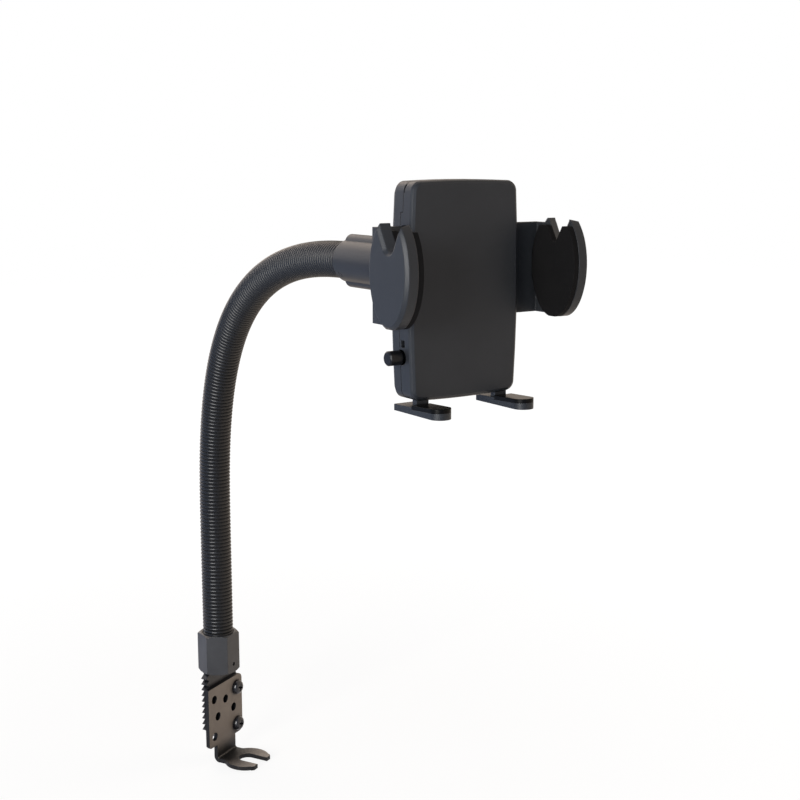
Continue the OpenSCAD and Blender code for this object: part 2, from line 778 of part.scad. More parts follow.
// Bar of the right arm, under the pinion, with ratchet teeth for the pawl along its lower edge
module right_arm() {
    gap_line = arm_z - pitch_r;
    color(plastic) at_holder() difference() {
        union() {
            arm_outside();
            translate([-bar_end, arm_y, arm_low + 0.4])
                cube([plate_end + bar_end + 1, arm_t, gap_line - 1.3 - arm_low - 0.4]);
            translate([0, 0, gap_line]) y_plate(arm_y, arm_y + arm_t) mirror([0, 1])
                rack_teeth(-bar_end, plate_end, 0);
        }
        for (i = [0:15]) {
            translate([-7.5 + i * 1.6, 0, arm_low + 0.4]) y_plate(arm_y - 1, arm_y + arm_t + 1)
                polygon([[0, -0.5], [1.5, -0.5], [1.5, 0], [0.1, 0.8], [0, 0.8]]);
        }
    }
}

// Rubber lining of the right jaw, a little lower than the cheek's horns
module jaw_lining() {
    color(rubber) difference() {
        x_plate(pad_x, cheek_x) polygon(jaw_points(lining_in));
        x_plate(pad_x - 1, cheek_x + 1) polygon(notch_points(flare_in));
        translate([pad_x - 1, -40, jaw_top - 3]) cube([pad_t + 2, 80, 10]);
    }
}

module left_pad() {
    at_holder() mirror([1, 0, 0]) jaw_lining();
}

module right_pad() {
    at_holder() jaw_lining();
}

// Involute flank of the pinion, as points from its root to its tip
base_r = pitch_r * cos(20);
function flank(r) = r <= base_r ? 0 : deg * sqrt(pow(r / base_r, 2) - 1) - acos(base_r / r);
half_tooth = 90 / tooth_n + flank(pitch_r) - 1.6;

module pinion() {
    radii = [pitch_r - 1.25, base_r, 5.9, 6.3, 6.7, pitch_r + 0.85];
    points = [for (i = [0:tooth_n - 1]) each concat(
        [for (r = radii) let (a = (i + 0.5) * 360 / tooth_n + 90 - half_tooth + flank(r))
            [r * cos(a), r * sin(a)]],
        [for (k = [5:-1:0]) let (r = radii[k],
            a = (i + 0.5) * 360 / tooth_n + 90 + half_tooth - flank(r)) [r * cos(a), r * sin(a)]])];
    color(plastic) at_holder() translate([0, 0, arm_z]) difference() {
        union() {
            y_plate(arm_y, arm_y + arm_t) polygon(points);
            y_bar(3.2, arm_y, arm_y + arm_t + 0.4);
        }
        y_bar(pin_r + turn_fit, front_y, back_y);
    }
}

module pinion_pin() {
    color(bright) at_holder() translate([0, 0, arm_z])
        y_bar(pin_r, pin_in + pin_fit, short_pin_out - turn_fit);
}

// A coil of round wire about the Y axis, with a short straight leg at each end
module coil(r, wire, turns, from, to) {
    per_turn = 16;
    sides = 8;
    n = per_turn * turns;
    function spot(i) = let (a = 360 * i / per_turn)
        [r * cos(a), from + (to - from) * i / n, r * sin(a)];
    function wire_ring(i, p, a) = [for (k = [0:sides - 1]) let (t = 360 * k / sides,
        out = wire / 2 * cos(t)) [p[0] + out * cos(a), p[1] + wire / 2 * sin(t),
        p[2] + out * sin(a)]];
    rings = [for (i = [0:n]) wire_ring(i, spot(i), 360 * i / per_turn)];
    points = [for (q = rings) each q];
    walls = [for (i = [0:n - 1], k = [0:sides - 1]) let (a = i * sides + k,
        b = i * sides + (k + 1) % sides) each [[a, b, a + sides], [b, b + sides, a + sides]]];
    ends = [[for (k = [sides - 1:-1:0]) k], [for (k = [0:sides - 1]) n * sides + k]];
    polyhedron(points = points, faces = concat(walls, ends));
}

module arm_spring() {
    color(bright) at_holder() translate([0, 0, arm_z])
        coil(2.6, 0.7, 3, arm_y + arm_t + 0.8, back_y - 5.85);
}

module release_button() {
    color(plastic) at_holder() translate([0, button_y, button_z]) {
        translate([-button_end + 0.5, 0, 0]) rotate([0, 90, 0])
            cylinder(d = button_d, h = button_end - button_in - 0.5);
        translate([-button_end, 0, 0]) rotate([0, 90, 0])
            cylinder(d1 = button_d - 1, d2 = button_d, h = 0.5);
        translate([-button_in - 1, 0, 0]) rotate([0, 90, 0])
            cylinder(r = rod_r, h = button_in + 1 - rod_end);
        translate([-flange_x, 0, 0]) rotate([0, 90, 0]) cylinder(r = 2.9, h = flange_t);
    }
}

module button_spring() {
    spare = spring_wire / 2 + 0.05;
    color(bright) at_holder() translate([-saddle_x, button_y, button_z]) rotate([0, 0, 90])
        coil(2.45, spring_wire, 3, spare, flange_x - flange_t - saddle_x - spare);
}

// Lever between the button's rod and the ratchet teeth
module latch_pawl() {
    color(plastic) at_holder() translate([pawl_x, 0, pawl_z]) difference() {
        union() {
            y_plate(arm_y, arm_y + 2.4) polygon([[2.6, 0.5], [2, -2], [-9, -7.6], [-12.2, -10.2],
                [-13.6, -9.8], [-13.6, -5.8], [-10, -3.2], [-8.6, 2], [-8.3, 6.9], [-7.2, 6.9],
                [-6.4, 2], [-1, 2.6]]);
            y_bar(2.8, arm_y, arm_y + 2.4);
        }
        y_bar(pawl_pin_r + turn_fit, front_y, back_y);
    }
}

module pawl_pin() {
    color(bright) at_holder() translate([pawl_x, 0, pawl_z])
        y_bar(pawl_pin_r, pin_in + pin_fit, long_pin_out - pin_fit);
}

// Bar of a foot in y and z: its underside is flat and its top rises to the front
module foot_bar(side) {
    bar_r = foot_w / 2;
    difference() {
        translate([side * foot_x, 0, foot_low]) union() {
            translate([0, foot_tip + bar_r, 0]) cylinder(r = bar_r, h = 6);
            translate([-bar_r, foot_tip + bar_r, 0])
                cube([foot_w, foot_back - foot_tip - bar_r, 6]);
        }
        x_plate(-far, far) polygon([[foot_tip - 1, foot_low + 4.65 - foot_pad_t],
            [foot_step_y, foot_low + 3.9 - foot_pad_t], [foot_step_y, foot_low + 3.1],
            [foot_back + 1, foot_low + 2.7], [foot_back + 1, foot_low + 9],
            [foot_tip - 1, foot_low + 9]]);
    }
}

module foot(side) {
    color(plastic) at_holder() union() {
        foot_bar(side);
        translate([side * foot_stem_x - foot_stem_w / 2, foot_stem_y, foot_low + 2])
            cube([foot_stem_w, foot_stem_t, foot_stem_top - foot_low - 2]);
    }
}

module foot_pad(side) {
    bar_r = foot_w / 2;
    color(rubber) at_holder() intersection() {
        translate([side * foot_x, 0, foot_low]) union() {
            translate([0, foot_tip + bar_r, 0]) cylinder(r = bar_r, h = 6);
            translate([-bar_r, foot_tip + bar_r, 0]) cube([foot_w, foot_step_y - foot_tip - bar_r, 6]);
        }
        x_plate(-far, far) polygon([[foot_tip - 1, foot_low + 4.65 - foot_pad_t],
            [foot_step_y, foot_low + 3.9 - foot_pad_t], [foot_step_y, foot_low + 3.9],
            [foot_tip - 1, foot_low + 4.65]]);
    }
}

module left_foot() {
    foot(-1);
}

module right_foot() {
    foot(1);
}

module left_foot_pad() {
    foot_pad(-1);
}

module right_foot_pad() {
    foot_pad(1);
}

seat_bracket();
bracket_screws();
neck_base();
set_screw();
neck();
head_socket();
clamp_ring();
ball_stud();
tab_plate();
rear_shell();
front_shell();
shell_screws();
left_arm();
right_arm();
left_pad();
right_pad();
pinion();
pinion_pin();
arm_spring();
release_button();
button_spring();
latch_pawl();
pawl_pin();
left_foot();
right_foot();
left_foot_pad();
right_foot_pad();
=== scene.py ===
# A phone mount that bolts under a car seat: a slotted steel bracket, a ridged black gooseneck
# and a spring holder for a phone. Lengths are in metres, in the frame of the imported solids.
import math

import bpy
from mathutils import Matrix, Vector


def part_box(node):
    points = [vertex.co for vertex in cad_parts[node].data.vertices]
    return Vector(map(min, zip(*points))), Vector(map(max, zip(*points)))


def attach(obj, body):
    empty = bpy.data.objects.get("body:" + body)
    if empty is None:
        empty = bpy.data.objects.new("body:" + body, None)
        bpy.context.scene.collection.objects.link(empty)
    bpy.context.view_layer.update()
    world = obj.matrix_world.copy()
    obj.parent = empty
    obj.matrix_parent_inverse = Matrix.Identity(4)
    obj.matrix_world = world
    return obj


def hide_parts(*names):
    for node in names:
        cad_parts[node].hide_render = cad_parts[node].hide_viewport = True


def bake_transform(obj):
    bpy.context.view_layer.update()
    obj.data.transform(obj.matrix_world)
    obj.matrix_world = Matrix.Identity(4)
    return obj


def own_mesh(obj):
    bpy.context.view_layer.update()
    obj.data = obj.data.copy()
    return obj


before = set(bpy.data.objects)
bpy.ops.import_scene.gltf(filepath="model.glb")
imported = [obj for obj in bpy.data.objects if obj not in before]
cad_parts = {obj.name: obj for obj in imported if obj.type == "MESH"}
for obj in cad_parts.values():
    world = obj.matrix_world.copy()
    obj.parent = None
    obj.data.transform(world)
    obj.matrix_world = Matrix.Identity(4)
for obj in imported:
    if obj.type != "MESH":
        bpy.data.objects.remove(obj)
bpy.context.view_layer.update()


# --- View: the camera stands to the left of the phone's face and a little above it, as in the
# photo, and looks 34 degrees round to the right and 10 degrees down.
look_right, look_down = 33.895, 10.204
camera_data = bpy.data.cameras.new("camera")
camera_data.lens = 61.21
camera_data.sensor_width = 36
camera_data.clip_start = 0.05
camera = bpy.data.objects.new("camera", camera_data)
camera.location = (-0.34793, -0.68085, 0.35505)
camera.rotation_euler = (math.radians(90 - look_down), 0, math.radians(-look_right))
bpy.context.scene.collection.objects.link(camera)
bpy.context.scene.camera = camera
bpy.context.scene.view_settings.view_transform = "Standard"

# --- Studio: a sheet of matt white paper, a white surround and soft lamps. What stands on the left
# is cool and what stands on the right is warm, so black faces run from blue-grey to brown-grey.
# A tall card on the left is only mirrored, which draws the light line down the ridged neck.


def colour(hex_text):
    """An sRGB hex value as the linear colour that Blender's sockets take."""
    parts = [int(hex_text[i:i + 2], 16) / 255 for i in (1, 3, 5)]
    return [c / 12.92 if c <= 0.04045 else ((c + 0.055) / 1.055) ** 2.4 for c in parts] + [1]


def add(tree, kind, settings=None, stops=(), **links):
    """Adds one node to a tree. settings sets its properties, and stops the places and colours of a
    colour ramp. Each link is a value or an output for the input of that name or number, as in
    Scale=4 or i0=other.outputs[0]. A mix of colours takes them at i6 and i7 and gives output 2."""
    node = tree.nodes.new(kind)
    for key, value in (settings or {}).items():
        setattr(node, key, value)
    for i, (place, hex_text) in enumerate(stops):
        node.color_ramp.elements[i].position = place
        node.color_ramp.elements[i].color = colour(hex_text)
    for key, value in links.items():
        numbered = key[0] == "i" and key[1:].isdigit()
        socket = node.inputs[int(key[1:]) if numbered else key.replace("_", " ")]
        if isinstance(value, bpy.types.NodeSocket):
            tree.links.new(value, socket)
        else:
            socket.default_value = value
    return node


def new_surface(name):
    """A material of that name, with its empty tree and the piece's own coordinates."""
    material = bpy.data.materials.new(name)
    material.use_nodes = True
    material.node_tree.nodes.clear()
    where = add(material.node_tree, "ShaderNodeTexCoord").outputs["Object"]
    return material, material.node_tree, where


def white_backdrop(tree, place, left, right):
    """Whether a ray shows the backdrop or is lit by it, and the white that it shows: plain to the
    camera, and where the object mirrors it, cool at left and warm at right."""
    rays = add(tree, "ShaderNodeLightPath")
    shows = rays.outputs["Is Camera Ray"]
    for ray in ("Is Glossy Ray", "Is Transmission Ray"):
        shows = add(tree, "ShaderNodeMath", settings={"operation": "MAXIMUM"}, i0=shows,
                    i1=rays.outputs[ray]).outputs[0]
    side_on = add(tree, "ShaderNodeSeparateXYZ", i0=place)
    warmth = add(tree, "ShaderNodeMapRange", Value=side_on.outputs["X"], From_Min=left,
                 From_Max=right)
    cast = add(tree, "ShaderNodeMix", settings={"data_type": "RGBA"}, i0=warmth.outputs[0],
               i6=colour("#bccdf0"), i7=colour("#ffefe0"))
    white = add(tree, "ShaderNodeMix", settings={"data_type": "RGBA"},
                i0=rays.outputs["Is Glossy Ray"], i6=colour("#ffffff"), i7=cast.outputs[2])
    return shows, white.outputs[2]


paper_reach, paper_drop = 3.0, 0.0006  # dropped, so that it shares no plane with the fork
floor_mesh = bpy.data.meshes.new("studio_floor")
floor_mesh.from_pydata([(x * paper_reach, y * paper_reach, -paper_drop)
                        for x, y in ((-1, -1), (1, -1), (1, 1), (-1, 1))], [], [(0, 1, 2, 3)])
floor = bpy.data.objects.new("studio_floor", floor_mesh)
bpy.context.scene.collection.objects.link(floor)
paper, tree, where = new_surface("matt_white_paper")
shows, white = white_backdrop(tree, where, left=-0.2, right=0.12)
# Close to the bracket a sixth of what shows is the lit paper itself, which keeps a soft shadow. It
# is darker than the rest, so the glow is a little over white.
away = add(tree, "ShaderNodeVectorMath", settings={"operation": "LENGTH"}, i0=where)
fade = add(tree, "ShaderNodeMapRange", Value=away.outputs["Value"], From_Min=0.15, From_Max=0.7,
           To_Min=0.84, To_Max=1.0)
share = add(tree, "ShaderNodeMath", settings={"operation": "MULTIPLY"}, i0=shows,
            i1=fade.outputs[0])
matt = add(tree, "ShaderNodeBsdfDiffuse", Color=colour("#f4f4f2"))
glow = add(tree, "ShaderNodeEmission", Color=white, Strength=1.04)
mixed = add(tree, "ShaderNodeMixShader", i0=share.outputs[0], i1=matt.outputs[0],
            i2=glow.outputs[0])
add(tree, "ShaderNodeOutputMaterial", i0=mixed.outputs[0])
floor_mesh.materials.append(paper)

world = bpy.data.worlds.new("white_surround")
bpy.context.scene.world = world
world.use_nodes = True
tree = world.node_tree
tree.nodes.clear()
compass = add(tree, "ShaderNodeTexCoord")
shows, white = white_backdrop(tree, compass.outputs["Generated"], left=-0.6, right=0.5)
soft = add(tree, "ShaderNodeBackground", Color=colour("#e2e9f4"), Strength=0.3)
plain = add(tree, "ShaderNodeBackground", Color=white, Strength=1.0)
mixed = add(tree, "ShaderNodeMixShader", i0=shows, i1=soft.outputs[0], i2=plain.outputs[0])
add(tree, "ShaderNodeOutputWorld", i0=mixed.outputs[0])

mount_middle = Vector((0, -0.1, 0.2))
for name, place, wide, tall, watts, tint, lights, mirrored in (
        ("key_left", (-1.29, -0.77, 0.50), 0.5, 0.5, 20, "#fff8ee", True, False),
        ("tall_card_left", (-1.20, -0.80, 0.35), 0.8, 1.6, 40, "#fffdf8", False, True),
        ("card_behind", (-0.15, 1.40, 0.75), 1.6, 0.8, 9, "#fff3e6", False, True),
        ("cool_left", (-1.45, 0.20, 0.40), 0.9, 0.9, 5, "#bccfff", True, False),
        ("warm_right", (1.35, -0.45, 0.35), 0.9, 0.9, 12, "#ffeedf", True, False),
        ("warm_top", (0.0, 0.8, 1.3), 0.8, 0.8, 5, "#ffe9d4", True, True)):
    lamp_data = bpy.data.lights.new(name, "AREA")
    lamp_data.shape = "RECTANGLE"
    lamp_data.size = wide
    lamp_data.size_y = tall
    lamp_data.energy = watts
    lamp_data.color = colour(tint)[:3]
    lamp = bpy.data.objects.new(name, lamp_data)
    lamp.location = place
    lamp.rotation_euler = (mount_middle - Vector(place)).to_track_quat("-Z", "Y").to_euler()
    lamp.visible_camera = False
    lamp.visible_diffuse = lights
    lamp.visible_glossy = mirrored
    bpy.context.scene.collection.objects.link(lamp)


# --- Seat bracket: 2.4 mm sheet steel, punched, folded once and powder coated satin black. The coat
# lies in an orange peel about a millimetre wide and is thickest and blackest on the cut edges; on
# cut edges that look up or down that black is painted shade. The fork is painted paler, a painted
# reflection. The plate stands 29 degrees round from square to the holder.
plate_turn = math.radians(29)
fold_top = 0.008  # above this the sheet stands upright


def dress(material, *nodes):
    """Puts a material on solids that keep their shape."""
    for node in nodes:
        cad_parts[node].data.materials.clear()
        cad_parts[node].data.materials.append(material)


powder, tree, where = new_surface("steel_powder_coated_black")
# The peel is 900 waves to the metre, 1.1 mm each, and the coat's thicker patches are 14 mm wide.
peel = add(tree, "ShaderNodeTexNoise", Vector=where, Scale=900.0, Detail=3.0, Roughness=0.5)
patches = add(tree, "ShaderNodeTexNoise", Vector=where, Scale=70.0, Detail=4.0)
tones = add(tree, "ShaderNodeValToRGB", stops=((0.3, "#645c54"), (0.72, "#70685f")),
            Fac=patches.outputs["Fac"])
# A face that looks along the plate is a cut edge, painted near black, and one above the fold that
# looks up or down is painted the same black as painted shade.
facing = add(tree, "ShaderNodeNewGeometry")
along = add(tree, "ShaderNodeVectorMath", settings={"operation": "DOT_PRODUCT"},
            i0=facing.outputs["True Normal"],
            i1=(math.cos(plate_turn), math.sin(plate_turn), 0))
end_on = add(tree, "ShaderNodeMath", settings={"operation": "ABSOLUTE"},
             i0=along.outputs["Value"])
end_cut = add(tree, "ShaderNodeMapRange", Value=end_on.outputs[0], From_Min=0.22, From_Max=0.42)
across = add(tree, "ShaderNodeVectorMath", settings={"operation": "DOT_PRODUCT"},
             i0=facing.outputs["True Normal"],
             i1=(-math.sin(plate_turn), math.cos(plate_turn), 0))
face_on = add(tree, "ShaderNodeMath", settings={"operation": "ABSOLUTE"},
              i0=across.outputs["Value"])
top_cut = add(tree, "ShaderNodeMath", settings={"operation": "LESS_THAN"},
              i0=face_on.outputs[0], i1=0.6)
height = add(tree, "ShaderNodeSeparateXYZ", i0=where)
upright = add(tree, "ShaderNodeMath", settings={"operation": "GREATER_THAN"},
              i0=height.outputs["Z"], i1=fold_top)
rim = add(tree, "ShaderNodeMath", settings={"operation": "MULTIPLY"}, i0=top_cut.outputs[0],
          i1=upright.outputs[0])
cut_edge_and_shade = add(tree, "ShaderNodeMath", settings={"operation": "MAXIMUM"},
              i0=end_cut.outputs[0], i1=rim.outputs[0])
# Painted shade: the colour darkens to black within 25 mm of the fold, more on the fork than on
# the plate.
corner = add(tree, "ShaderNodeAmbientOcclusion", settings={"samples": 8}, Distance=0.025)
climb = add(tree, "ShaderNodeMapRange", Value=height.outputs["Z"], From_Min=0.002,
            From_Max=0.016)
full_shade_at = add(tree, "ShaderNodeMapRange", Value=climb.outputs[0], To_Min=0.8, To_Max=0.5)
no_shade_at = add(tree, "ShaderNodeMapRange", Value=climb.outputs[0], To_Min=1.0, To_Max=0.82)
open_air = add(tree, "ShaderNodeMapRange", Value=corner.outputs["AO"],
               From_Min=full_shade_at.outputs[0], From_Max=no_shade_at.outputs[0])
# Painted reflection: the fork is painted paler, for the light that its top mirrors.
painted_reflection_fork = add(tree, "ShaderNodeMix", settings={"data_type": "RGBA"}, i0=climb.outputs[0],
             i6=colour("#938a81"), i7=tones.outputs[0])
painted_shade = add(tree, "ShaderNodeMix", settings={"data_type": "RGBA"}, i0=open_air.outputs[0],
              i6=colour("#070707"), i7=painted_reflection_fork.outputs[2])
blackened = add(tree, "ShaderNodeMix", settings={"data_type": "RGBA"}, i0=cut_edge_and_shade.outputs[0],
                i6=painted_shade.outputs[2], i7=colour("#050608"))
rough = add(tree, "ShaderNodeMapRange", Value=peel.outputs["Fac"], To_Min=0.46, To_Max=0.56)
round_edge = add(tree, "ShaderNodeBevel", settings={"samples": 6}, Radius=0.0004)
dents = add(tree, "ShaderNodeBump", Height=peel.outputs["Fac"], Strength=0.05, Distance=0.0002,
            Normal=round_edge.outputs[0])
shader = add(tree, "ShaderNodeBsdfPrincipled", Base_Color=blackened.outputs[2],
             Roughness=rough.outputs[0], Normal=dents.outputs[0], Specular_IOR_Level=0.3)
add(tree, "ShaderNodeOutputMaterial", i0=shader.outputs[0])
dress(powder, "seat_bracket")

# --- Neck base: the hexagon and its flat toothed tongue, cast in one in zinc alloy and dipped in
# black lacquer, smoother than the bracket's powder. A grub screw stands in the small hole.
cast, tree, where = new_surface("cast_zinc_black_lacquered")
# The casting's grain is 0.3 mm, drawn twice as coarse so that it shows, and the lacquer's runs are
# 11 mm wide.
grain = add(tree, "ShaderNodeTexNoise", Vector=where, Scale=1500.0, Detail=3.0, Roughness=0.6)
runs = add(tree, "ShaderNodeTexNoise", Vector=where, Scale=90.0, Detail=3.0)
tones = add(tree, "ShaderNodeValToRGB", stops=((0.32, "#2d2e30"), (0.7, "#353638")),
            Fac=runs.outputs["Fac"])
# Painted shade: within 8 mm of other surfaces, as under the hexagon, the colour darkens to black.
corner = add(tree, "ShaderNodeAmbientOcclusion", settings={"samples": 8}, Distance=0.008)
open_air = add(tree, "ShaderNodeMapRange", Value=corner.outputs["AO"], From_Min=0.5,
               From_Max=0.95)
painted_shade = add(tree, "ShaderNodeMix", settings={"data_type": "RGBA"}, i0=open_air.outputs[0],
              i6=colour("#08090b"), i7=tones.outputs[0])
rough = add(tree, "ShaderNodeMapRange", Value=grain.outputs["Fac"], To_Min=0.30, To_Max=0.44)
round_edge = add(tree, "ShaderNodeBevel", settings={"samples": 6}, Radius=0.0004)
dents = add(tree, "ShaderNodeBump", Height=grain.outputs["Fac"], Strength=0.1, Distance=0.0002,
            Normal=round_edge.outputs[0])
shader = add(tree, "ShaderNodeBsdfPrincipled", Base_Color=painted_shade.outputs[2],
             Roughness=rough.outputs[0], Normal=dents.outputs[0], Specular_IOR_Level=0.35)
add(tree, "ShaderNodeOutputMaterial", i0=shader.outputs[0])
dress(cast, "neck_base")

# --- Bracket screws: steel pan heads with a cross recess, black zinc plated, which is thin and
# glossy. Two of them clamp the tongue to the plate, and the grub screw has the same finish.
zinc, tree, where = new_surface("steel_black_zinc_plated")
# The plating's haze is finer than 0.1 mm, and is drawn 0.8 mm wide so that it shows.
haze = add(tree, "ShaderNodeTexNoise", Vector=where, Scale=1200.0, Detail=2.0)
tones = add(tree, "ShaderNodeValToRGB", stops=((0, "#0b0c10"), (1, "#15171d")),
            Fac=haze.outputs["Fac"])
rough = add(tree, "ShaderNodeMapRange", Value=haze.outputs["Fac"], To_Min=0.10, To_Max=0.2)
round_edge = add(tree, "ShaderNodeBevel", settings={"samples": 6}, Radius=0.0003)
shader = add(tree, "ShaderNodeBsdfPrincipled", Base_Color=tones.outputs[0],
             Roughness=rough.outputs[0], Normal=round_edge.outputs[0], Specular_IOR_Level=0.55)
add(tree, "ShaderNodeOutputMaterial", i0=shader.outputs[0])
dress(zinc, "bracket_screws", "set_screw")

# --- Neck: a wound steel core in a ribbed sleeve of black PVC, drawn as one long ridged tube. The
# sleeve is extruded, so its ridges are smooth and half glossy and dust dulls the grooves, which are
# drawn 0.2 mm deeper than the solid's so that they show.
sleeve, tree, where = new_surface("pvc_black_extruded_ribs")
crown = add(tree, "ShaderNodeAttribute", settings={"attribute_name": "crown"})
# The dust lies in 1.4 mm patches. The die's drag marks are 0.1 mm, and are drawn 0.7 mm wide.
dust = add(tree, "ShaderNodeTexNoise", Vector=where, Scale=700.0, Detail=2.0)
drag = add(tree, "ShaderNodeTexNoise", Vector=where, Scale=1500.0, Detail=2.0)
# The tone is painted by the rise: near black in the grooves as painted shade, and lighter on the
# crowns as painted highlight.
tones = add(tree, "ShaderNodeValToRGB", stops=((0.4, "#010102"), (0.95, "#0e0f10")),
            Fac=crown.outputs["Fac"])
gloss = add(tree, "ShaderNodeMapRange", Value=crown.outputs["Fac"], From_Min=0.3, From_Max=0.9,
            To_Min=0.8, To_Max=0.2)
rough = add(tree, "ShaderNodeMath", settings={"operation": "MULTIPLY_ADD"},
            i0=dust.outputs["Fac"], i1=0.1, i2=gloss.outputs[0])
dents = add(tree, "ShaderNodeBump", Height=drag.outputs["Fac"], Strength=0.02, Distance=0.0002)
shader = add(tree, "ShaderNodeBsdfPrincipled", Base_Color=tones.outputs[0],
             Roughness=rough.outputs[0], Normal=dents.outputs[0], Specular_IOR_Level=0.38)
add(tree, "ShaderNodeOutputMaterial", i0=shader.outputs[0])

# The path: a straight stem, then a bend whose curvature rises to a peak over bend_in and falls to
# bend_left over bend_out, a quarter turn in all, and then straight into the collar.
stem_len, bend_in, bend_out, bend_left = 0.079, 0.135, 0.129, 2.3
neck_x, neck_y, seat_z, collar_y = -0.0106717, 0.0130643, 0.059, -0.151031
peak = (math.pi - bend_left * bend_out) / (bend_in + bend_out)
bend_steps = 240


def neck_heading(s):
    """How far the neck has turned towards the holder at a distance past its straight stem."""
    if s < bend_in:
        return peak * s * s / 2 / bend_in
    past = s - bend_in
    return peak * bend_in / 2 + peak * past - (peak - bend_left) * past * past / 2 / bend_out


path = [Vector((neck_x, neck_y, seat_z)), Vector((neck_x, neck_y, seat_z + stem_len))]
step = (bend_in + bend_out) / bend_steps
for i in range(bend_steps):
    heading = neck_heading((i + 0.5) * step)
    path.append(path[-1] + Vector((0, -math.sin(heading), math.cos(heading))) * step)
path.append(Vector((neck_x, collar_y, path[-1].z)))
line = bpy.data.meshes.new("neck_path")
line.from_pydata(path, [(i, i + 1) for i in range(len(path) - 1)], [])
neck = bpy.data.objects.new("ridged_neck", line)
bpy.context.scene.collection.objects.link(neck)


def new_rule(name, sizes, finish):
    """A Geometry Nodes tree with an input for each size and one for the material, and the node
    that gives them."""
    rule = bpy.data.node_groups.new(name, "GeometryNodeTree")
    face = rule.interface
    face.new_socket("Geometry", in_out="INPUT", socket_type="NodeSocketGeometry")
    for size, value in sizes.items():
        socket = face.new_socket(size, in_out="INPUT", socket_type="NodeSocketFloat")
        socket.default_value = value
    face.new_socket(finish, in_out="INPUT", socket_type="NodeSocketMaterial")
    face.new_socket("Geometry", in_out="OUTPUT", socket_type="NodeSocketGeometry")
    return rule, add(rule, "NodeGroupInput")


def end_rule(rule, tube, finish):
    """Ends a tree: its tube is shaded smooth, made real and given the material."""
    smooth = add(rule, "GeometryNodeSetShadeSmooth", Geometry=tube)
    real = add(rule, "GeometryNodeRealizeInstances", Geometry=smooth.outputs[0])
    dressed = add(rule, "GeometryNodeSetMaterial", Geometry=real.outputs[0], Material=finish)
    add(rule, "NodeGroupOutput", i0=dressed.outputs[0])


def grow(thing, rule, inputs):
    """The plain mesh that a tree makes of an object, with those inputs in place of its own."""
    maker = thing.modifiers.new(rule.name, "NODES")
    maker.node_group = rule
    for socket in rule.interface.items_tree:
        if socket.name in inputs:
            maker[socket.identifier] = inputs[socket.name]
    shape = thing.evaluated_get(bpy.context.evaluated_depsgraph_get())
    made = bpy.data.meshes.new_from_object(shape)
    thing.modifiers.clear()
    return made


sections_per_ridge, tube_sides, ridge_squareness = 10.0, 40, 0.75
rule, given = new_rule("ridged_tube", {"Radius": 0.0088, "Ridge step": 0.0021,
                                       "Ridge depth": 0.001, "Plain start": 0.0164,
                                       "Plain end": 0.011}, "Sleeve")
curve = add(rule, "GeometryNodeMeshToCurve", i0=given.outputs["Geometry"])
long = add(rule, "GeometryNodeCurveLength", i0=curve.outputs[0])
section = add(rule, "ShaderNodeMath", settings={"operation": "DIVIDE"},
              i0=given.outputs["Ridge step"], i1=sections_per_ridge)
count = add(rule, "ShaderNodeMath", settings={"operation": "DIVIDE"}, i0=long.outputs[0],
            i1=section.outputs[0])
even = add(rule, "GeometryNodeResampleCurve", Curve=curve.outputs[0], Count=count.outputs[0])
# Each ridge rises and falls as a full arch: 0 in a groove and 1 on a crown. The rise is kept as
# the attribute that the sleeve's tone and gloss read.
spot = add(rule, "GeometryNodeSplineParameter")
half = add(rule, "ShaderNodeMath", settings={"operation": "MULTIPLY"},
           i0=given.outputs["Ridge step"], i1=0.5)
ramp = add(rule, "ShaderNodeMath", settings={"operation": "PINGPONG"}, i0=spot.outputs["Length"],
           i1=half.outputs[0])
slope = add(rule, "ShaderNodeMath", settings={"operation": "DIVIDE"}, i0=ramp.outputs[0],
            i1=half.outputs[0])
rest = add(rule, "ShaderNodeMath", settings={"operation": "SUBTRACT"}, i0=2.0,
           i1=slope.outputs[0])
arch = add(rule, "ShaderNodeMath", settings={"operation": "MULTIPLY"}, i0=slope.outputs[0],
           i1=rest.outputs[0])
rise = add(rule, "ShaderNodeMath", settings={"operation": "POWER"}, i0=arch.outputs[0],
           i1=ridge_squareness)
# The ends that sit in the hexagon and in the collar have no ridges.
after = add(rule, "ShaderNodeMath", settings={"operation": "GREATER_THAN"},
            i0=spot.outputs["Length"], i1=given.outputs["Plain start"])
stop = add(rule, "ShaderNodeMath", settings={"operation": "SUBTRACT"}, i0=long.outputs[0],
           i1=given.outputs["Plain end"])
before = add(rule, "ShaderNodeMath", settings={"operation": "LESS_THAN"},
             i0=spot.outputs["Length"], i1=stop.outputs[0])
ridged = add(rule, "ShaderNodeMath", settings={"operation": "MULTIPLY"}, i0=after.outputs[0],
             i1=before.outputs[0])
shown = add(rule, "ShaderNodeMath", settings={"operation": "MULTIPLY"}, i0=rise.outputs[0],
            i1=ridged.outputs[0])
groove = add(rule, "ShaderNodeMath", settings={"operation": "SUBTRACT"},
             i0=given.outputs["Radius"], i1=given.outputs["Ridge depth"])
radius = add(rule, "ShaderNodeMath", settings={"operation": "MULTIPLY_ADD"},
             i0=shown.outputs[0], i1=given.outputs["Ridge depth"], i2=groove.outputs[0])
kept = add(rule, "GeometryNodeStoreNamedAttribute",
           settings={"data_type": "FLOAT", "domain": "POINT"}, Geometry=even.outputs[0],
           Name="crown", Value=shown.outputs[0])
sized = add(rule, "GeometryNodeSetCurveRadius", Curve=kept.outputs[0], Radius=radius.outputs[0])
ring = add(rule, "GeometryNodeCurvePrimitiveCircle", Resolution=tube_sides, Radius=1.0)
width = add(rule, "GeometryNodeInputRadius")
tube = add(rule, "GeometryNodeCurveToMesh", Curve=sized.outputs[0],
           Profile_Curve=ring.outputs[0], Scale=width.outputs[0], Fill_Caps=True)
end_rule(rule, tube.outputs[0], given.outputs["Sleeve"])
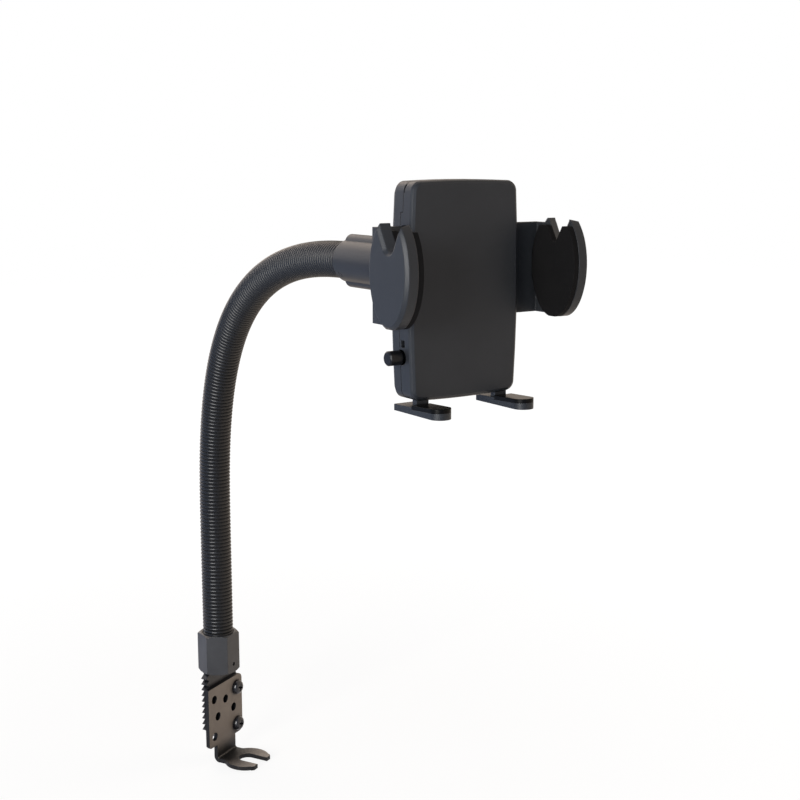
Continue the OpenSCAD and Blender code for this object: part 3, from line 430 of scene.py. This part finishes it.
neck.data = grow(neck, rule, {"Sleeve": sleeve})
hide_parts("neck")
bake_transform(neck)

# --- Swivel: the collar on the neck's end and the clamp ring behind the holder, moulded in black
# nylon. The mould is polished, so they are smoother than the holder.
nylon, tree, where = new_surface("nylon_black_moulded_smooth")
# The polish leaves a grain finer than 0.1 mm, drawn 0.8 mm wide so that it shows.
grain = add(tree, "ShaderNodeTexNoise", Vector=where, Scale=1200.0, Detail=2.0)
tones = add(tree, "ShaderNodeValToRGB", stops=((0, "#24262a"), (1, "#2a2c30")),
            Fac=grain.outputs["Fac"])
rough = add(tree, "ShaderNodeMapRange", Value=grain.outputs["Fac"], To_Min=0.32, To_Max=0.42)
round_edge = add(tree, "ShaderNodeBevel", settings={"samples": 6}, Radius=0.0005)
dents = add(tree, "ShaderNodeBump", Height=grain.outputs["Fac"], Strength=0.015,
            Distance=0.0002, Normal=round_edge.outputs[0])
shader = add(tree, "ShaderNodeBsdfPrincipled", Base_Color=tones.outputs[0],
             Roughness=rough.outputs[0], Normal=dents.outputs[0], Specular_IOR_Level=0.15)
add(tree, "ShaderNodeOutputMaterial", i0=shader.outputs[0])
dress(nylon, "head_socket", "clamp_ring")

# --- Holder: two shells, their tab plate, the sliding arms and the feet, injection moulded in black
# ABS with a fine satin grain. Their edges are broken by a quarter of a millimetre, and the arms',
# which the hand takes hold of, are rounded by 0.8 mm.
for name, rounding, nodes in (
        ("abs_black_moulded_satin", 0.00025,
         ("tab_plate", "rear_shell", "front_shell", "left_foot", "right_foot")),
        ("abs_black_moulded_rounded", 0.0008, ("left_arm", "right_arm"))):
    abs_black, tree, where = new_surface(name)
    # The mould's grain is 0.2 mm, drawn 0.6 mm wide so that it shows, and its flow 22 mm.
    grain = add(tree, "ShaderNodeTexNoise", Vector=where, Scale=1600.0, Detail=2.0)
    flow = add(tree, "ShaderNodeTexNoise", Vector=where, Scale=45.0, Detail=3.0)
    tones = add(tree, "ShaderNodeValToRGB", stops=((0, "#202327"), (1, "#272a2f")),
                Fac=flow.outputs["Fac"])
    # Painted shade: in grooves and between parts, within 1.2 mm, the colour darkens to black.
    crack = add(tree, "ShaderNodeAmbientOcclusion", settings={"samples": 8}, Distance=0.0012)
    open_air = add(tree, "ShaderNodeMapRange", Value=crack.outputs["AO"], From_Min=0.3,
                   From_Max=0.7)
    painted_shade = add(tree, "ShaderNodeMix", settings={"data_type": "RGBA"},
                  i0=open_air.outputs[0], i6=colour("#020202"), i7=tones.outputs[0])
    rough = add(tree, "ShaderNodeMapRange", Value=grain.outputs["Fac"], To_Min=0.34,
                To_Max=0.46)
    round_edge = add(tree, "ShaderNodeBevel", settings={"samples": 6}, Radius=rounding)
    dents = add(tree, "ShaderNodeBump", Height=grain.outputs["Fac"], Strength=0.11,
                Distance=0.0002, Normal=round_edge.outputs[0])
    shader = add(tree, "ShaderNodeBsdfPrincipled", Base_Color=painted_shade.outputs[2],
                 Roughness=rough.outputs[0], Normal=dents.outputs[0], Specular_IOR_Level=0.24)
    add(tree, "ShaderNodeOutputMaterial", i0=shader.outputs[0])
    dress(abs_black, *nodes)

# --- Release button: a rod with a round head, moulded in black acetal. Acetal comes from the mould
# smooth and a little waxy, so it is darker and glossier than the housing that it slides in.
acetal, tree, where = new_surface("acetal_black_moulded")
# The grain is finer than 0.1 mm, drawn 0.7 mm wide so that it shows, and the waxy patches 4 mm.
grain = add(tree, "ShaderNodeTexNoise", Vector=where, Scale=1500.0, Detail=2.0)
wax = add(tree, "ShaderNodeTexNoise", Vector=where, Scale=260.0, Detail=2.0)
tones = add(tree, "ShaderNodeValToRGB", stops=((0, "#0c0d0f"), (1, "#131417")),
            Fac=wax.outputs["Fac"])
rough = add(tree, "ShaderNodeMapRange", Value=grain.outputs["Fac"], To_Min=0.25, To_Max=0.35)
round_edge = add(tree, "ShaderNodeBevel", settings={"samples": 6}, Radius=0.0006)
dents = add(tree, "ShaderNodeBump", Height=grain.outputs["Fac"], Strength=0.03,
            Distance=0.0002, Normal=round_edge.outputs[0])
shader = add(tree, "ShaderNodeBsdfPrincipled", Base_Color=tones.outputs[0],
             Roughness=rough.outputs[0], Normal=dents.outputs[0], Specular_IOR_Level=0.2)
add(tree, "ShaderNodeOutputMaterial", i0=shader.outputs[0])
dress(acetal, "release_button")

# --- Jaw linings: soft black rubber, moulded in a blasted mould and bonded in the jaws. The
# blasting leaves a dull grain and no gloss.
rubber, tree, where = new_surface("rubber_black_moulded_matt")
# The grain is half a millimetre, drawn 0.9 mm wide so that it shows, and the bloom on it 8 mm.
grain = add(tree, "ShaderNodeTexNoise", Vector=where, Scale=1100.0, Detail=3.0)
bloom = add(tree, "ShaderNodeTexNoise", Vector=where, Scale=120.0, Detail=3.0)
tones = add(tree, "ShaderNodeValToRGB", stops=((0, "#0f0f10"), (1, "#141415")),
            Fac=bloom.outputs["Fac"])
rough = add(tree, "ShaderNodeMapRange", Value=grain.outputs["Fac"], To_Min=0.6, To_Max=0.8)
round_edge = add(tree, "ShaderNodeBevel", settings={"samples": 6}, Radius=0.0004)
dents = add(tree, "ShaderNodeBump", Height=grain.outputs["Fac"], Strength=0.12,
            Distance=0.0002, Normal=round_edge.outputs[0])
shader = add(tree, "ShaderNodeBsdfPrincipled", Base_Color=tones.outputs[0],
             Roughness=rough.outputs[0], Normal=dents.outputs[0], Specular_IOR_Level=0.05)
add(tree, "ShaderNodeOutputMaterial", i0=shader.outputs[0])
dress(rubber, "left_pad", "right_pad")

# --- Foot caps: black rubber in a polished mould, pushed over the feet to grip the phone's lower
# edge. The polish keeps them glossy on top, and the rubber between the glints stays near black.
cap, tree, where = new_surface("rubber_black_moulded_gloss")
# The grain is 0.2 mm, drawn 0.9 mm wide so that it shows, and the bloom on it 7 mm.
grain = add(tree, "ShaderNodeTexNoise", Vector=where, Scale=1100.0, Detail=3.0)
bloom = add(tree, "ShaderNodeTexNoise", Vector=where, Scale=150.0, Detail=3.0)
tones = add(tree, "ShaderNodeValToRGB", stops=((0, "#070707"), (1, "#0b0b0c")),
            Fac=bloom.outputs["Fac"])
rough = add(tree, "ShaderNodeMapRange", Value=grain.outputs["Fac"], To_Min=0.25, To_Max=0.34)
round_edge = add(tree, "ShaderNodeBevel", settings={"samples": 6}, Radius=0.0004)
dents = add(tree, "ShaderNodeBump", Height=grain.outputs["Fac"], Strength=0.04,
            Distance=0.0002, Normal=round_edge.outputs[0])
shader = add(tree, "ShaderNodeBsdfPrincipled", Base_Color=tones.outputs[0],
             Roughness=rough.outputs[0], Normal=dents.outputs[0], Specular_IOR_Level=0.07)
add(tree, "ShaderNodeOutputMaterial", i0=shader.outputs[0])
dress(cap, "left_foot_pad", "right_foot_pad")

# --- Bright steel: the ball on its stem, the four housing screws and the pins, turned and then
# zinc plated. The tool leaves fine marks, and the plating lies on them pale grey and cloudy.
steel, tree, where = new_surface("steel_zinc_plated_bright")
# The tool's marks are 0.1 mm, drawn 1.1 mm wide so that they show, and the plating's cloud 9 mm.
marks = add(tree, "ShaderNodeTexNoise", Vector=where, Scale=900.0, Detail=3.0)
cloud = add(tree, "ShaderNodeTexNoise", Vector=where, Scale=110.0, Detail=3.0)
tones = add(tree, "ShaderNodeValToRGB", stops=((0, "#9c9c9a"), (1, "#b4b4b0")),
            Fac=cloud.outputs["Fac"])
rough = add(tree, "ShaderNodeMapRange", Value=marks.outputs["Fac"], To_Min=0.2, To_Max=0.34)
dents = add(tree, "ShaderNodeBump", Height=marks.outputs["Fac"], Strength=0.05, Distance=0.0001)
shader = add(tree, "ShaderNodeBsdfPrincipled", Base_Color=tones.outputs[0],
             Roughness=rough.outputs[0], Normal=dents.outputs[0], Metallic=1.0)
add(tree, "ShaderNodeOutputMaterial", i0=shader.outputs[0])
dress(steel, "ball_stud", "shell_screws", "pinion_pin", "pawl_pin")

# --- Springs: hard-drawn steel wire, wound in the same direction and zinc plated. One coil stands
# round the pinion's hub and opens the jaws, and one lies round the button's rod and pushes it out.
# The button's coil closes up as the button goes in.
steps_per_turn, wire_sides = 24, 12
coil_rule, given = new_rule("wire_coil", {"Turns": 3.0, "Coil radius": 0.0025, "Length": 0.004,
                                          "Wire radius": 0.00025}, "Finish")
helix = add(coil_rule, "GeometryNodeCurveSpiral", Resolution=steps_per_turn,
            Rotations=given.outputs["Turns"], Start_Radius=given.outputs["Coil radius"],
            End_Radius=given.outputs["Coil radius"], Height=given.outputs["Length"])
wire = add(coil_rule, "GeometryNodeCurvePrimitiveCircle", Resolution=wire_sides,
           Radius=given.outputs["Wire radius"])
tube = add(coil_rule, "GeometryNodeCurveToMesh", Curve=helix.outputs[0],
           Profile_Curve=wire.outputs[0], Fill_Caps=True)
end_rule(coil_rule, tube.outputs[0], given.outputs["Finish"])
along_x = Matrix.Rotation(math.pi / 2, 4, "Y")
along_y = Matrix.Rotation(-math.pi / 2, 4, "X")
for name, solid, axis, lie, turns, coil_radius, wire_radius in (
        ("jaw_opening_coil", "arm_spring", 1, along_y, 3.0, 0.0026, 0.00035),
        ("button_return_coil", "button_spring", 0, along_x, 3.0, 0.00245, 0.00025)):
    low, high = (Vector(corner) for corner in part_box(solid))
    start = (low + high) / 2
    start[axis] = low[axis] + wire_radius
    coil = bpy.data.objects.new(name, bpy.data.meshes.new(name))
    bpy.context.scene.collection.objects.link(coil)
    coil.data = grow(coil, coil_rule, {
        "Turns": turns, "Coil radius": coil_radius, "Wire radius": wire_radius,
        "Length": high[axis] - low[axis] - 2 * wire_radius, "Finish": steel})
    coil.data.transform(Matrix.Translation(start) @ lie)
    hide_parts(solid)
    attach(coil, "housing")
    if solid == "button_spring":
        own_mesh(coil)

# --- Pinion and pawl: moulded in natural acetal, which runs without grease. It is a milky white
# that lets a little light in, with a faint flow pattern from the gate.
natural, tree, where = new_surface("acetal_natural_moulded")
# The grain is finer than 0.1 mm, drawn 1.2 mm wide so that it shows, and the flow 7 mm.
grain = add(tree, "ShaderNodeTexNoise", Vector=where, Scale=800.0, Detail=2.0)
flow = add(tree, "ShaderNodeTexNoise", Vector=where, Scale=140.0, Detail=3.0, Distortion=0.6)
tones = add(tree, "ShaderNodeValToRGB", stops=((0, "#d8d5ca"), (1, "#e3e0d6")),
            Fac=flow.outputs["Fac"])
rough = add(tree, "ShaderNodeMapRange", Value=grain.outputs["Fac"], To_Min=0.34, To_Max=0.44)
dents = add(tree, "ShaderNodeBump", Height=grain.outputs["Fac"], Strength=0.04, Distance=0.0002)
shader = add(tree, "ShaderNodeBsdfPrincipled", Base_Color=tones.outputs[0],
             Roughness=rough.outputs[0], Normal=dents.outputs[0], Subsurface_Weight=0.1,
             Subsurface_Radius=(0.002, 0.002, 0.0015))
add(tree, "ShaderNodeOutputMaterial", i0=shader.outputs[0])
dress(natural, "pinion", "latch_pawl")
